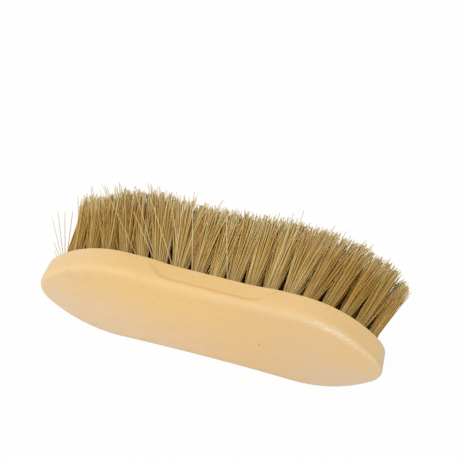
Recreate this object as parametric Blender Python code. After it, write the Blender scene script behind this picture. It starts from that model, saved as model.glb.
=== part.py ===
"""A dandy brush: a boat-shaped wooden block with tufts of stiff bristle set in drilled holes.

The brush lies on one long side. +X runs along the block, +Y is the way the bristles point and
+Z runs across the block. The origin is under the middle of the brush, on the surface it lies on.
Everything is modelled bristles up, with the face that carries them at height 0, and an empty
then lays the whole brush down. Sizes are in metres.
"""

import math

import bmesh
import bpy
import numpy as np
from mathutils import Matrix, Vector

# The wooden block, whose back is eased widely in its middle and crisply at its noses
BLOCK_LENGTH = 0.205
BLOCK_WIDTH = 0.064
BLOCK_THICKNESS = 0.0156
SHOULDER_RADIUS = 0.0625
NOSE_RADIUS = 0.016
BACK_ROUNDING_MIDDLE = 0.010
BACK_ROUNDING_NOSES = 0.0027
FACE_ROUNDING = 0.0008

# The finger groove along each long side, a cut by a cutter head of large radius
GROOVE_LENGTH = 0.081
GROOVE_DEPTH = 0.0016
GROOVE_RADIUS = 0.150
GROOVE_RUN_OUT = 0.020

# The drilled holes, which follow the outline in one ring and fill it with inner rows
HOLE_RADIUS = 0.00365
HOLE_DEPTH = 0.0095
FIELD_END_MARGIN = 0.0102
FIELD_SIDE_MARGIN = 0.0115
FIELD_NOSE_ROUNDNESS = 0.65
ROW_END_PITCHES = 1.5
OUTER_TUFTS = 38
INNER_ROWS = (11, 10)

# The flat wire that anchors each tuft across its hole
WIRE_THICKNESS = 0.0005
WIRE_WIDTH = 0.002
WIRE_BITE = 0.0006
FOLD_THICKNESS = 0.0013
CLEARANCE = 0.0003

# The bristles, trimmed to a low crown that falls away towards the noses
BRISTLE_LENGTH = 0.0525
TRIM_DROP = 0.0075
TRIM_CROWN_POWER = 6.0
TRIM_UNEVENNESS = 0.0032
BOUND_LENGTH = 0.0025
STRANDS = 8
FAN_LENGTHWISE = 1.09
FAN_CROSSWISE = 1.22
STRAND_BEND_AT = 0.42
STRAND_BEND_SPREAD = 0.34
STRAND_BEND_SIZE = 0.74
STRAND_TIP_SIZE = 0.52
INNER_STRAND_REACH = 0.5
TIP_GAP = 0.0012

# How finely curves are cut into flats
SIDE_STEPS = 3
SHOULDER_STEPS = 6
NOSE_STEPS = 5
BACK_STEPS = 4
GROOVE_TURN_STEPS = 180
GROOVE_RUN_OUT_STEPS = 5

SHARP_ANGLE = math.radians(30)
SAME_PLACE = 1e-7

GOLDEN_SHARE = (math.sqrt(5.0) - 1.0) / 2.0
FIELD_HALF_LENGTH = BLOCK_LENGTH / 2 - FIELD_END_MARGIN
FIELD_HALF_WIDTH = BLOCK_WIDTH / 2 - FIELD_SIDE_MARGIN
TUFT_RADIUS = HOLE_RADIUS - CLEARANCE
WIRE_HEIGHT = -HOLE_DEPTH + CLEARANCE + FOLD_THICKNESS + CLEARANCE + WIRE_THICKNESS / 2
FACE_PLACE = (BLOCK_THICKNESS - BRISTLE_LENGTH) / 2


def arc(centre_x, centre_y, radius, start, end, steps):
    """Points of an arc and its outward directions. Angles are turned from +Y towards +X."""
    angles = np.linspace(start, end, steps + 1)
    outwards = np.column_stack([np.sin(angles), np.cos(angles)])
    return (centre_x, centre_y) + radius * outwards, outwards


def boat_quarter(half_length, half_width, shoulder_radius, nose_radius):
    """A boat outline from the middle of its side to its nose, as points and outward directions.

    It is a straight side, a shoulder arc that touches it, and a nose arc that touches the
    shoulder, so where the side stops being straight follows from the four sizes.
    """
    nose_centre = half_length - nose_radius
    reach = math.sqrt(
        2 * shoulder_radius * (half_width - nose_radius) - half_width**2 + nose_radius**2
    )
    shoulder_x = nose_centre - reach
    shoulder_y = half_width - shoulder_radius
    turn = math.atan2(reach, -shoulder_y)
    side_x = np.linspace(0.0, shoulder_x, SIDE_STEPS, endpoint=False)
    side = np.column_stack([side_x, np.full(SIDE_STEPS, half_width)])
    side_outwards = np.tile((0.0, 1.0), (SIDE_STEPS, 1))
    shoulder, shoulder_outwards = arc(
        shoulder_x, shoulder_y, shoulder_radius, 0.0, turn, SHOULDER_STEPS
    )
    nose, nose_outwards = arc(nose_centre, 0.0, nose_radius, turn, math.pi / 2, NOSE_STEPS)
    points = np.vstack([side, shoulder, nose[1:]])
    return points, np.vstack([side_outwards, shoulder_outwards, nose_outwards[1:]])


def all_round(quarter):
    """One quarter of an outline mirrored into all of it, anticlockwise from the +X nose."""
    half = np.vstack([quarter[::-1], quarter[1:] * (-1, 1)])
    return np.vstack([half, -half[1:-1]])


def outer_tuft_places():
    """Evenly spaced places on the ring that runs parallel to the block's edge, and its headings."""
    ring, _ = boat_quarter(
        FIELD_HALF_LENGTH,
        FIELD_HALF_WIDTH,
        SHOULDER_RADIUS - FIELD_SIDE_MARGIN,
        FIELD_HALF_WIDTH * FIELD_NOSE_ROUNDNESS,
    )
    ring = all_round(ring)
    closed = np.vstack([ring, ring[:1]])
    steps = np.linalg.norm(np.diff(closed, axis=0), axis=1)
    walked = np.concatenate([[0.0], np.cumsum(steps)])
    pitch = walked[-1] / OUTER_TUFTS
    stops = (np.arange(OUTER_TUFTS) + 0.5) * pitch
    places = [np.interp(stops, walked, closed[:, axis]) for axis in (0, 1)]
    ahead = [np.interp((stops + pitch / 2) % walked[-1], walked, closed[:, axis]) for axis in (0, 1)]
    behind = [np.interp(stops - pitch / 2, walked, closed[:, axis]) for axis in (0, 1)]
    headings = np.arctan2(ahead[1] - behind[1], ahead[0] - behind[0])
    return list(zip(*places, headings)), pitch


def inner_tuft_places(outer_pitch):
    """Staggered rows inside the ring, as far from each other as from the ring's long sides."""
    row_gap = 2 * FIELD_HALF_WIDTH / (len(INNER_ROWS) + 1)
    half_row = FIELD_HALF_LENGTH - ROW_END_PITCHES * outer_pitch
    pitch = 2 * half_row / (max(INNER_ROWS) - 1)
    places = []
    for row, count in enumerate(INNER_ROWS):
        y = (row - (len(INNER_ROWS) - 1) / 2) * row_gap
        places += [((index - (count - 1) / 2) * pitch, y, 0.0) for index in range(count)]
    return places, pitch, row_gap


def lean_at(x, y):
    """The shear that leans a tuft outwards, so that the field is wider at its tips."""
    along = x * (FAN_LENGTHWISE - 1) / BRISTLE_LENGTH
    across = y * (FAN_CROSSWISE - 1) / BRISTLE_LENGTH
    return Matrix.Shear("XY", 4, (along, across))


def trim_at(x):
    """How far above the face a tip is cut, where it ends this far along the block."""
    share = abs(x) / (FIELD_HALF_LENGTH * FAN_LENGTHWISE)
    return BRISTLE_LENGTH - TRIM_DROP * share**TRIM_CROWN_POWER


def strand_reach(spacing):
    """How far from its tuft's middle a strand may end, where tufts are this far apart."""
    overhang = STRAND_TIP_SIZE * TUFT_RADIUS / 2
    return (spacing - TIP_GAP) / 2 - overhang


def make_material(name, colour, roughness):
    """A plain material of one colour."""
    material = bpy.data.materials.new(name)
    material.use_nodes = True
    shader = material.node_tree.nodes["Principled BSDF"]
    shader.inputs["Base Color"].default_value = (*colour, 1.0)
    shader.inputs["Roughness"].default_value = roughness
    shader.inputs["Metallic"].default_value = 0.0
    return material


def new_object(name, mesh, collection, parent):
    """An object for a mesh, in its collection and under its parent."""
    obj = bpy.data.objects.new(name, mesh)
    collection.objects.link(obj)
    obj.parent = parent
    return obj


def mesh_from(name, edited):
    """A mesh data block from an edited mesh, which is freed."""
    mesh = bpy.data.meshes.new(name)
    edited.to_mesh(mesh)
    edited.free()
    return mesh


def make_helper(name, mesh, collection, parent):
    """A cutter or a joined-on shape, which is not a piece of its own."""
    helper = new_object(name, mesh, collection, parent)
    helper.hide_render = True
    helper.display_type = "WIRE"
    return helper


def add_boolean(obj, name, operation, other):
    """One Boolean modifier with the exact solver."""
    modifier = obj.modifiers.new(name, "BOOLEAN")
    modifier.operation = operation
    modifier.solver = "EXACT"
    modifier.object = other


def block_rows():
    """The block's outline row by row, from the bristle face down to the back.

    The face's rim is one small flat. The back's rim is a quarter round, and its radius shrinks
    from the middle of the block to the noses with the square of the way along.
    """
    points, outwards = boat_quarter(
        BLOCK_LENGTH / 2, BLOCK_WIDTH / 2, SHOULDER_RADIUS, NOSE_RADIUS
    )
    points, outwards = all_round(points), all_round(outwards)
    share = (points[:, 0] / (BLOCK_LENGTH / 2)) ** 2
    rounding = BACK_ROUNDING_MIDDLE + (BACK_ROUNDING_NOSES - BACK_ROUNDING_MIDDLE) * share
    level = np.zeros(len(points))
    rims = [(level + FACE_ROUNDING, level), (level, level - FACE_ROUNDING)]
    for turn in np.linspace(0.0, math.pi / 2, BACK_STEPS + 1):
        inset = rounding * (1.0 - math.cos(turn))
        height = rounding * (1.0 - math.sin(turn)) - BLOCK_THICKNESS
        rims.append((inset, height))
    return [
        np.column_stack([points - outwards * inset[:, None], height]) for inset, height in rims
    ]


def block_mesh():
    """The block before it is cut: a loft through its rows, closed by the flat face and back."""
    edited = bmesh.new()
    rows = [[edited.verts.new(point) for point in row] for row in block_rows()]
    edited.faces.new(rows[0])
    edited.faces.new(rows[-1])
    for upper, lower in zip(rows, rows[1:]):
        for corner in range(len(upper)):
            edited.faces.new((upper[corner - 1], upper[corner], lower[corner], lower[corner - 1]))
    bmesh.ops.recalc_face_normals(edited, faces=edited.faces)
    return mesh_from("block", edited)


def groove_cutter_mesh():
    """A turned body like a shaper's cutter head: a drum whose radius shrinks towards both ends.

    Its axis runs along the block, level with the bristle face, so the groove is deepest there
    and runs out on the rounding of the back.
    """
    half = GROOVE_LENGTH / 2
    profile = []
    for step in range(GROOVE_RUN_OUT_STEPS + 1):
        share = step / GROOVE_RUN_OUT_STEPS
        lift = GROOVE_DEPTH * (0.5 + 0.5 * math.cos(math.pi * share))
        profile.append((-half + GROOVE_RUN_OUT * share, GROOVE_RADIUS - lift))
    profile += [(-x, reach) for x, reach in reversed(profile)]
    profile = [(-half, 0.0)] + profile + [(half, 0.0)]
    edited = bmesh.new()
    points = [edited.verts.new((x, reach, 0.0)) for x, reach in profile]
    edges = [edited.edges.new(pair) for pair in zip(points, points[1:])]
    bmesh.ops.spin(
        edited,
        geom=points + edges,
        axis=(1.0, 0.0, 0.0),
        cent=(0.0, 0.0, 0.0),
        angle=math.tau,
        steps=GROOVE_TURN_STEPS,
        use_merge=True,
    )
    bmesh.ops.remove_doubles(edited, verts=edited.verts, dist=SAME_PLACE)
    bmesh.ops.recalc_face_normals(edited, faces=edited.faces)
    return mesh_from("groove_cutter", edited)


def hole_cutters_mesh(places):
    """All the blind holes in one mesh: leaning prisms that start above the face, where the
    tufts are still bound.
    """
    edited = bmesh.new()
    upright = Matrix.Translation((0.0, 0.0, (BOUND_LENGTH - HOLE_DEPTH) / 2))
    for x, y, _ in places:
        bmesh.ops.create_cone(
            edited,
            cap_ends=True,
            segments=STRANDS,
            radius1=HOLE_RADIUS,
            radius2=HOLE_RADIUS,
            depth=BOUND_LENGTH + HOLE_DEPTH,
            matrix=Matrix.Translation((x, y, 0.0)) @ lean_at(x, y) @ upright,
        )
    bmesh.ops.recalc_face_normals(edited, faces=edited.faces)
    return mesh_from("tuft_holes", edited)


def wire_box(edited, x, y, length, width, thickness):
    """A flat bar across one hole, at the height of its anchor and leaning as the hole does."""
    size = Matrix.Diagonal((length, width, thickness, 1.0))
    upright = Matrix.Translation((0.0, 0.0, WIRE_HEIGHT)) @ size
    bmesh.ops.create_cube(
        edited, size=1.0, matrix=Matrix.Translation((x, y, 0.0)) @ lean_at(x, y) @ upright
    )


def anchor_wires_mesh(places):
    """The anchors, whose ends bite into the wood on both sides of each hole."""
    edited = bmesh.new()
    for x, y, _ in places:
        wire_box(edited, x, y, 2 * (HOLE_RADIUS + WIRE_BITE), WIRE_WIDTH, WIRE_THICKNESS)
    bmesh.ops.recalc_face_normals(edited, faces=edited.faces)
    return mesh_from("anchor_wires", edited)


def tuft_root_mesh(helpers):
    """The packed root that every tuft shares: a prism with an eye where the bristles fold
    round the anchor. Its top is a fan of triangles, one for each strand.
    """
    bottom = CLEARANCE - HOLE_DEPTH
    edited = bmesh.new()
    bmesh.ops.create_cone(
        edited,
        cap_ends=True,
        cap_tris=True,
        segments=STRANDS,
        radius1=TUFT_RADIUS,
        radius2=TUFT_RADIUS,
        depth=BOUND_LENGTH - bottom,
        matrix=Matrix.Translation((0.0, 0.0, (BOUND_LENGTH + bottom) / 2)),
    )
    root = make_helper("tuft_root", mesh_from("tuft_root", edited), helpers, None)
    edited = bmesh.new()
    wire_box(
        edited,
        0.0,
        0.0,
        2 * (HOLE_RADIUS + WIRE_BITE),
        WIRE_WIDTH + 2 * CLEARANCE,
        WIRE_THICKNESS + 2 * CLEARANCE,
    )
    eye = make_helper("tuft_eye", mesh_from("tuft_eye", edited), helpers, None)
    add_boolean(root, "eye", "DIFFERENCE", eye)
    bpy.context.view_layer.update()
    evaluated = root.evaluated_get(bpy.context.evaluated_depsgraph_get())
    mesh = bpy.data.meshes.new_from_object(evaluated)
    bpy.data.objects.remove(root)
    bpy.data.objects.remove(eye)
    return mesh


def tuft_mesh(name, root_mesh, place, number, reach_along, reach_across):
    """One tuft: the root, and above it each triangle of its top drawn out to a tapering strand.

    Every other strand ends near the middle of the tuft's tip and the rest on an ellipse round
    it, whose half axes are the two reaches. Tips end at unlike heights under the trim's crown.
    """
    x, y, heading = place
    edited = bmesh.new()
    edited.from_mesh(root_mesh)
    strands = [
        face
        for face in edited.faces
        if all(math.isclose(corner.co.z, BOUND_LENGTH, abs_tol=SAME_PLACE) for corner in face.verts)
    ]
    strands.sort(key=lambda face: math.atan2(*face.calc_center_median().yx) % math.tau)
    starts = [face.calc_center_median() for face in strands]
    turn = Matrix.Rotation(heading, 3, "Z")
    tips = []
    for index, start in enumerate(starts):
        share = (1.0, INNER_STRAND_REACH)[index % 2]
        outwards = turn.transposed() @ Vector((start.x, start.y, 0.0)).normalized()
        spread = Vector((outwards.x * reach_along, outwards.y * reach_across, 0.0))
        tip = turn @ spread * share
        short = TRIM_UNEVENNESS * ((number * STRANDS + index) * GOLDEN_SHARE % 1.0)
        tip.z = trim_at(x * FAN_LENGTHWISE + tip.x) - short
        tips.append(tip)
    size_before = 1.0
    for level, spread_share, size in (
        (STRAND_BEND_AT, STRAND_BEND_SPREAD, STRAND_BEND_SIZE),
        (1.0, 1.0, STRAND_TIP_SIZE),
    ):
        strands = bmesh.ops.extrude_discrete_faces(edited, faces=strands)["faces"]
        for face, start, tip in zip(strands, starts, tips):
            middle = face.calc_center_median()
            target = start.lerp(tip, spread_share)
            target.z = start.z + (tip.z - start.z) * level
            for corner in face.verts:
                corner.co = target + (corner.co - middle) * (size / size_before)
        size_before = size
    bmesh.ops.transform(edited, matrix=lean_at(x, y), verts=edited.verts)
    return mesh_from(name, edited)


def shade_round(mesh):
    """Smooth shading, but for real corners."""
    mesh.shade_smooth()
    mesh.set_sharp_from_angle(angle=SHARP_ANGLE)


def make_block(parts, helpers, parent, places, material):
    """The wooden block with its two finger grooves, its blind holes and the anchors in them."""
    mesh = block_mesh()
    mesh.materials.append(material)
    shade_round(mesh)
    block = new_object("wooden_block", mesh, parts, parent)
    cutter = groove_cutter_mesh()
    for side, name in ((-1, "groove_cutter_upper"), (1, "groove_cutter_lower")):
        groove = make_helper(name, cutter, helpers, parent)
        groove.location.y = side * (BLOCK_WIDTH / 2 - GROOVE_DEPTH + GROOVE_RADIUS)
        add_boolean(block, name, "DIFFERENCE", groove)
    holes = make_helper("tuft_holes", hole_cutters_mesh(places), helpers, parent)
    add_boolean(block, "tuft_holes", "DIFFERENCE", holes)
    anchors = make_helper("anchor_wires", anchor_wires_mesh(places), helpers, parent)
    add_boolean(block, "anchor_wires", "UNION", anchors)


def make_tufts(parts, helpers, parent, groups, material):
    """Every tuft as its own object, standing at the mouth of its hole."""
    root_mesh = tuft_root_mesh(helpers)
    number = 0
    for group, places, reach_along, reach_across in groups:
        for index, place in enumerate(places, start=1):
            name = f"{group}_{index:02d}"
            mesh = tuft_mesh(name, root_mesh, place, number, reach_along, reach_across)
            mesh.materials.append(material)
            tuft = new_object(name, mesh, parts, parent)
            tuft.location = (place[0], place[1], 0.0)
            number += 1
    bpy.data.meshes.remove(root_mesh)


def make_brush():
    """The whole brush, laid on its long side."""
    for obj in list(bpy.data.objects):
        bpy.data.objects.remove(obj)
    parts = bpy.data.collections.new("dandy_brush")
    helpers = bpy.data.collections.new("cutters")
    for collection in (parts, helpers):
        bpy.context.scene.collection.children.link(collection)

    outer, outer_pitch = outer_tuft_places()
    inner, inner_pitch, row_gap = inner_tuft_places(outer_pitch)
    groups = (
        (
            "outer_tuft",
            outer,
            strand_reach(outer_pitch * FAN_LENGTHWISE),
            strand_reach(outer_pitch),
        ),
        (
            "inner_tuft",
            inner,
            strand_reach(inner_pitch * FAN_LENGTHWISE),
            strand_reach(row_gap * FAN_CROSSWISE),
        ),
    )

    laid_down = bpy.data.objects.new("brush_laid_down", None)
    parts.objects.link(laid_down)
    wood = make_material("lacquered_wood", (0.76, 0.53, 0.28), 0.38)
    bristle = make_material("stiff_bristle", (0.40, 0.26, 0.10), 0.6)
    make_block(parts, helpers, laid_down, outer + inner, wood)
    make_tufts(parts, helpers, laid_down, groups, bristle)
    laid_down.rotation_euler.x = -math.pi / 2
    laid_down.location = (0.0, FACE_PLACE, BLOCK_WIDTH / 2)


make_brush()
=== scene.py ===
"""The dandy brush as it looks: a lacquered wooden block and fourteen thousand bristles.

The frame's axes hold: +X along the block, +Y the way the bristles point, +Z across the block.
Sizes are in metres, colours are linear.
"""

import math

import bmesh
import bpy
import numpy as np
from mathutils import Matrix, Vector
from mathutils.geometry import delaunay_2d_cdt


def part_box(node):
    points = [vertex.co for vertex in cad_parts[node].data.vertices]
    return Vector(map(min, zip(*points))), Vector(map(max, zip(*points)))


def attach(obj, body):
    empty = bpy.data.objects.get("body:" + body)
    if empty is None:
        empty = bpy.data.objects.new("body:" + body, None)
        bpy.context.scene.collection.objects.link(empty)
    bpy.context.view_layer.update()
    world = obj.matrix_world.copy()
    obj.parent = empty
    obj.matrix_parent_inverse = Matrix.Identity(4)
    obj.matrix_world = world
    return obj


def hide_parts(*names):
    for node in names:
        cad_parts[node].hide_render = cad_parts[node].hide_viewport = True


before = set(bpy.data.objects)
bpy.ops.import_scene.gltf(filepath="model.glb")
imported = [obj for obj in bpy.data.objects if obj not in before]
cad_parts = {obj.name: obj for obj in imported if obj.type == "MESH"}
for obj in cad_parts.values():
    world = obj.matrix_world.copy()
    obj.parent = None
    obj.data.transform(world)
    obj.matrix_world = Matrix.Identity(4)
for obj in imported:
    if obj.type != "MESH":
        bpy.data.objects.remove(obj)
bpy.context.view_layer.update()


# The holes and the tufts' axes
# Each tuft is folded round a flat wire at the bottom of a blind hole that leans outwards.
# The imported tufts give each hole's mouth and its lean, so bristles and holes agree with them.

block_low, block_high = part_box("wooden_block")
LENGTH, THICKNESS, WIDTH = block_high - block_low
FACE_Y = block_high.y
MIDDLE_Z = (block_low.z + block_high.z) / 2
COLLAR_HEIGHT = 0.0025
SAME_LEVEL = 2e-5
WELD_DIGITS = 6


def tuft_axis(node):
    """The middle of a tuft where it leaves the block, and its lean for each metre it stands out.

    The lean is the step from the middle of its lowest ring to the middle of its collar,
    divided by their difference in height.
    """
    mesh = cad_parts[node].data
    points = np.empty(len(mesh.vertices) * 3, np.float32)
    mesh.vertices.foreach_get("co", points)
    points = np.unique(points.reshape(-1, 3).round(WELD_DIGITS), axis=0).astype(float)
    foot = points[points[:, 1] < points[:, 1].min() + SAME_LEVEL].mean(axis=0)
    collar = points[abs(points[:, 1] - FACE_Y - COLLAR_HEIGHT) < SAME_LEVEL].mean(axis=0)
    lean = (collar - foot) / (collar[1] - foot[1])
    return foot + lean * (FACE_Y - foot[1]), lean


tuft_nodes = sorted(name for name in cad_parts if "_tuft_" in name)
tuft_axes = {name: tuft_axis(name) for name in tuft_nodes}


# The camera
# It looks along the photograph's line: from the back of the block, to its right and above.
# The place of the brush in the picture is met by turning the camera, with no shift.

CAMERA_AZIMUTH = 19.358
CAMERA_ELEVATION = 50.434
CAMERA_ROLL = -0.818
CAMERA_DISTANCE = 0.9087
PICTURE_WIDTH = 460
FOCAL_PIXELS = 1575.8
BLOCK_MIDDLE = Vector((0.0, FACE_Y - THICKNESS / 2, MIDDLE_Z))
BLOCK_MIDDLE_PIXEL = (208.99, 319.40)
SENSOR_WIDTH = 36.0
CLIP_START = 0.05


def direction(azimuth, elevation):
    """The way to someone who looks at the brush along an azimuth and down by an elevation."""
    turn, rise = math.radians(azimuth), math.radians(elevation)
    return Vector(
        (math.sin(turn) * math.cos(rise), -math.cos(turn) * math.cos(rise), math.sin(rise))
    )


def camera_axes():
    """The right, up and back directions of a camera that looks straight at the block's middle."""
    turn, roll = math.radians(CAMERA_AZIMUTH), math.radians(CAMERA_ROLL)
    back = direction(CAMERA_AZIMUTH, CAMERA_ELEVATION)
    level = Vector((math.cos(turn), math.sin(turn), 0.0))
    right = math.cos(roll) * level + math.sin(roll) * back.cross(level)
    return right, back.cross(right), back


def seen_places(pixels, across):
    """The places that the photograph shows at some pixels, given how far across the block.

    A line of sight leaves the camera along the way to the block's middle plus, times right and
    down, the pixel's offsets from the middle's pixel over the focal length. It is followed to
    the height of that place across the block. The camera's turn of a few degrees is left out,
    which moves a place by less than a millimetre.
    """
    right, up, back = np.array(camera_axes())
    aside, below = (np.array(pixels) - BLOCK_MIDDLE_PIXEL).T[..., None] / FOCAL_PIXELS
    ways = aside * right - below * up - back
    start = np.array(BLOCK_MIDDLE) + back * CAMERA_DISTANCE
    steps = (MIDDLE_Z + np.array(across) - start[2]) / ways[:, 2]
    return start + ways * steps[:, None]


def aim_camera():
    """The camera at its distance, turned so that the block's middle lands on its pixel.

    The way ahead loses the pixel's offsets over the focal length times right and up, and is
    made of unit length.
    """
    right, up, back = camera_axes()
    aside = (BLOCK_MIDDLE_PIXEL[0] - PICTURE_WIDTH / 2) / FOCAL_PIXELS
    above = (PICTURE_WIDTH / 2 - BLOCK_MIDDLE_PIXEL[1]) / FOCAL_PIXELS
    ahead = (-back - aside * right - above * up).normalized()
    right = (right - right.dot(ahead) * ahead).normalized()
    up = right.cross(ahead)
    data = bpy.data.cameras.new("camera")
    data.sensor_width = SENSOR_WIDTH
    data.lens = FOCAL_PIXELS / PICTURE_WIDTH * SENSOR_WIDTH
    data.clip_start = CLIP_START
    camera = bpy.data.objects.new("camera", data)
    facing = Matrix((right, up, -ahead)).transposed().to_4x4()
    camera.matrix_world = Matrix.Translation(BLOCK_MIDDLE + back * CAMERA_DISTANCE) @ facing
    bpy.context.scene.collection.objects.link(camera)
    bpy.context.scene.camera = camera


aim_camera()
bpy.context.scene.view_settings.view_transform = "Standard"


# The wooden block
# One piece of pale beech, spindle-moulded to a boat outline. Its back is sanded round, widely
# in the middle and crisply at the noses, a finger groove is cut along each long side, and the
# whole is dipped in clear lacquer after its holes are drilled.

SHOULDER_RADIUS = 0.0625
NOSE_RADIUS = 0.016
BACK_ROUNDING_UPPER = 0.008
BACK_ROUNDING_LOWER = 0.010
BACK_ROUNDING_NOSES = 0.0028
FACE_ROUNDING = 0.0008
FACE_MARGIN = 1.6
BACK_CROWN = 0.00035
NOSE_FLARE = 0.0020
NOSE_FLARE_POWER = 22
GROOVE_LENGTH = 0.081
GROOVE_DEPTH = 0.0016
GROOVE_RADIUS = 0.150
GROOVE_RUN_OUT = 0.020
GROOVE_SOFTNESS = 0.00030
GROOVE_END_SLANT = 0.95
GROOVE_END_STEP = 0.0009
# The groove's line is painted shade in its crease, with lacquer pooled there.
GROOVE_LINE_BELOW = 0.00045
GROOVE_LINE_ABOVE = 0.00075
GROOVE_END_LINE_WIDTH = 0.00110
NO_CUT = -1.0
# The ridge carries a painted highlight, faint along the block and bright near the right-hand nose.
RIDGE_TURN = 0.90
RIDGE_WIDTH = 0.40
RIDGE_PLACE = 0.0790
RIDGE_REACH = 0.0165
RIDGE_FAINT = 0.24
HOLE_RADIUS = 0.00365
HOLE_DEPTH = 0.0095
HOLE_CHAMFER = 0.00025
HOLE_STEPS = 24
QUARTER_COLUMNS = 130
FACE_RIM_ROWS, WALL_ROWS, ROUNDING_ROWS, BACK_ROWS = 4, 14, 36, 22
BACK_SPINE_SHARE = 0.72
WELD = 2e-6
SHARP_ANGLE = math.radians(32)


def boat_outline():
    """Points and outward directions at equal steps round the boat outline, from the +X nose.

    A quarter is a nose arc, a shoulder arc and a straight side, each touching the next. On an
    arc the outward direction turns by the way walked over the radius, and the point is the
    arc's middle plus the radius times that direction. The quarter is mirrored for the rest.
    """
    half_length, half_width = LENGTH / 2, WIDTH / 2
    nose_x = half_length - NOSE_RADIUS
    reach = math.sqrt(
        2 * SHOULDER_RADIUS * (half_width - NOSE_RADIUS) - half_width**2 + NOSE_RADIUS**2
    )
    shoulder_x = nose_x - reach
    turn = math.atan2(reach, SHOULDER_RADIUS - half_width)
    nose_end = NOSE_RADIUS * (math.pi / 2 - turn)
    shoulder_end = nose_end + SHOULDER_RADIUS * turn
    walked = np.linspace(0.0, shoulder_end + shoulder_x, QUARTER_COLUMNS + 1)
    on_nose = walked.clip(0.0, nose_end)
    on_shoulder = walked.clip(nose_end, shoulder_end) - nose_end
    angle = math.pi / 2 - on_nose / NOSE_RADIUS - on_shoulder / SHOULDER_RADIUS
    outwards = np.column_stack([np.sin(angle), np.cos(angle)])
    nose = (nose_x, 0.0) + NOSE_RADIUS * outwards
    shoulder = (shoulder_x, half_width - SHOULDER_RADIUS) + SHOULDER_RADIUS * outwards
    side = np.column_stack([shoulder_x + shoulder_end - walked, np.full(len(walked), half_width)])
    past_nose = (walked > nose_end)[:, None]
    past_shoulder = (walked > shoulder_end)[:, None]
    points = np.where(past_shoulder, side, np.where(past_nose, shoulder, nose))
    rounds = []
    for quarter in (points, outwards):
        half = np.vstack([quarter, quarter[-2::-1] * (-1, 1)])
        rounds.append(np.vstack([half, -half[1:-1]]))
    return rounds


def groove_at(x, height):
    """How far the groove's cutter reaches in, its share of the full depth, and its end line.

    The share eases from 0 to 1 as half a cosine wave over the run-out. The cutter is a drum
    level with the bristle face, so its reach shrinks by the drum's sagitta at each height. Its
    ends slant: the cut starts in a small step past a line that runs inwards as it goes down.
    """
    inwards = GROOVE_LENGTH / 2 - abs(x)
    past_end = inwards + GROOVE_END_SLANT * height
    begun = (past_end / GROOVE_END_STEP).clip(0.0, 1.0)
    share = 0.5 - 0.5 * np.cos(math.pi * (inwards / GROOVE_RUN_OUT).clip(0.0, 1.0))
    share = share * begun**2 * (3 - 2 * begun)
    sagitta = GROOVE_RADIUS - np.sqrt(GROOVE_RADIUS**2 - height**2)
    cut = np.where(share > 0, GROOVE_DEPTH * share - sagitta, NO_CUT)
    end_line = np.exp(-((past_end / GROOVE_END_LINE_WIDTH) ** 2)) * (cut > -GROOVE_DEPTH)
    return cut, share, end_line


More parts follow.
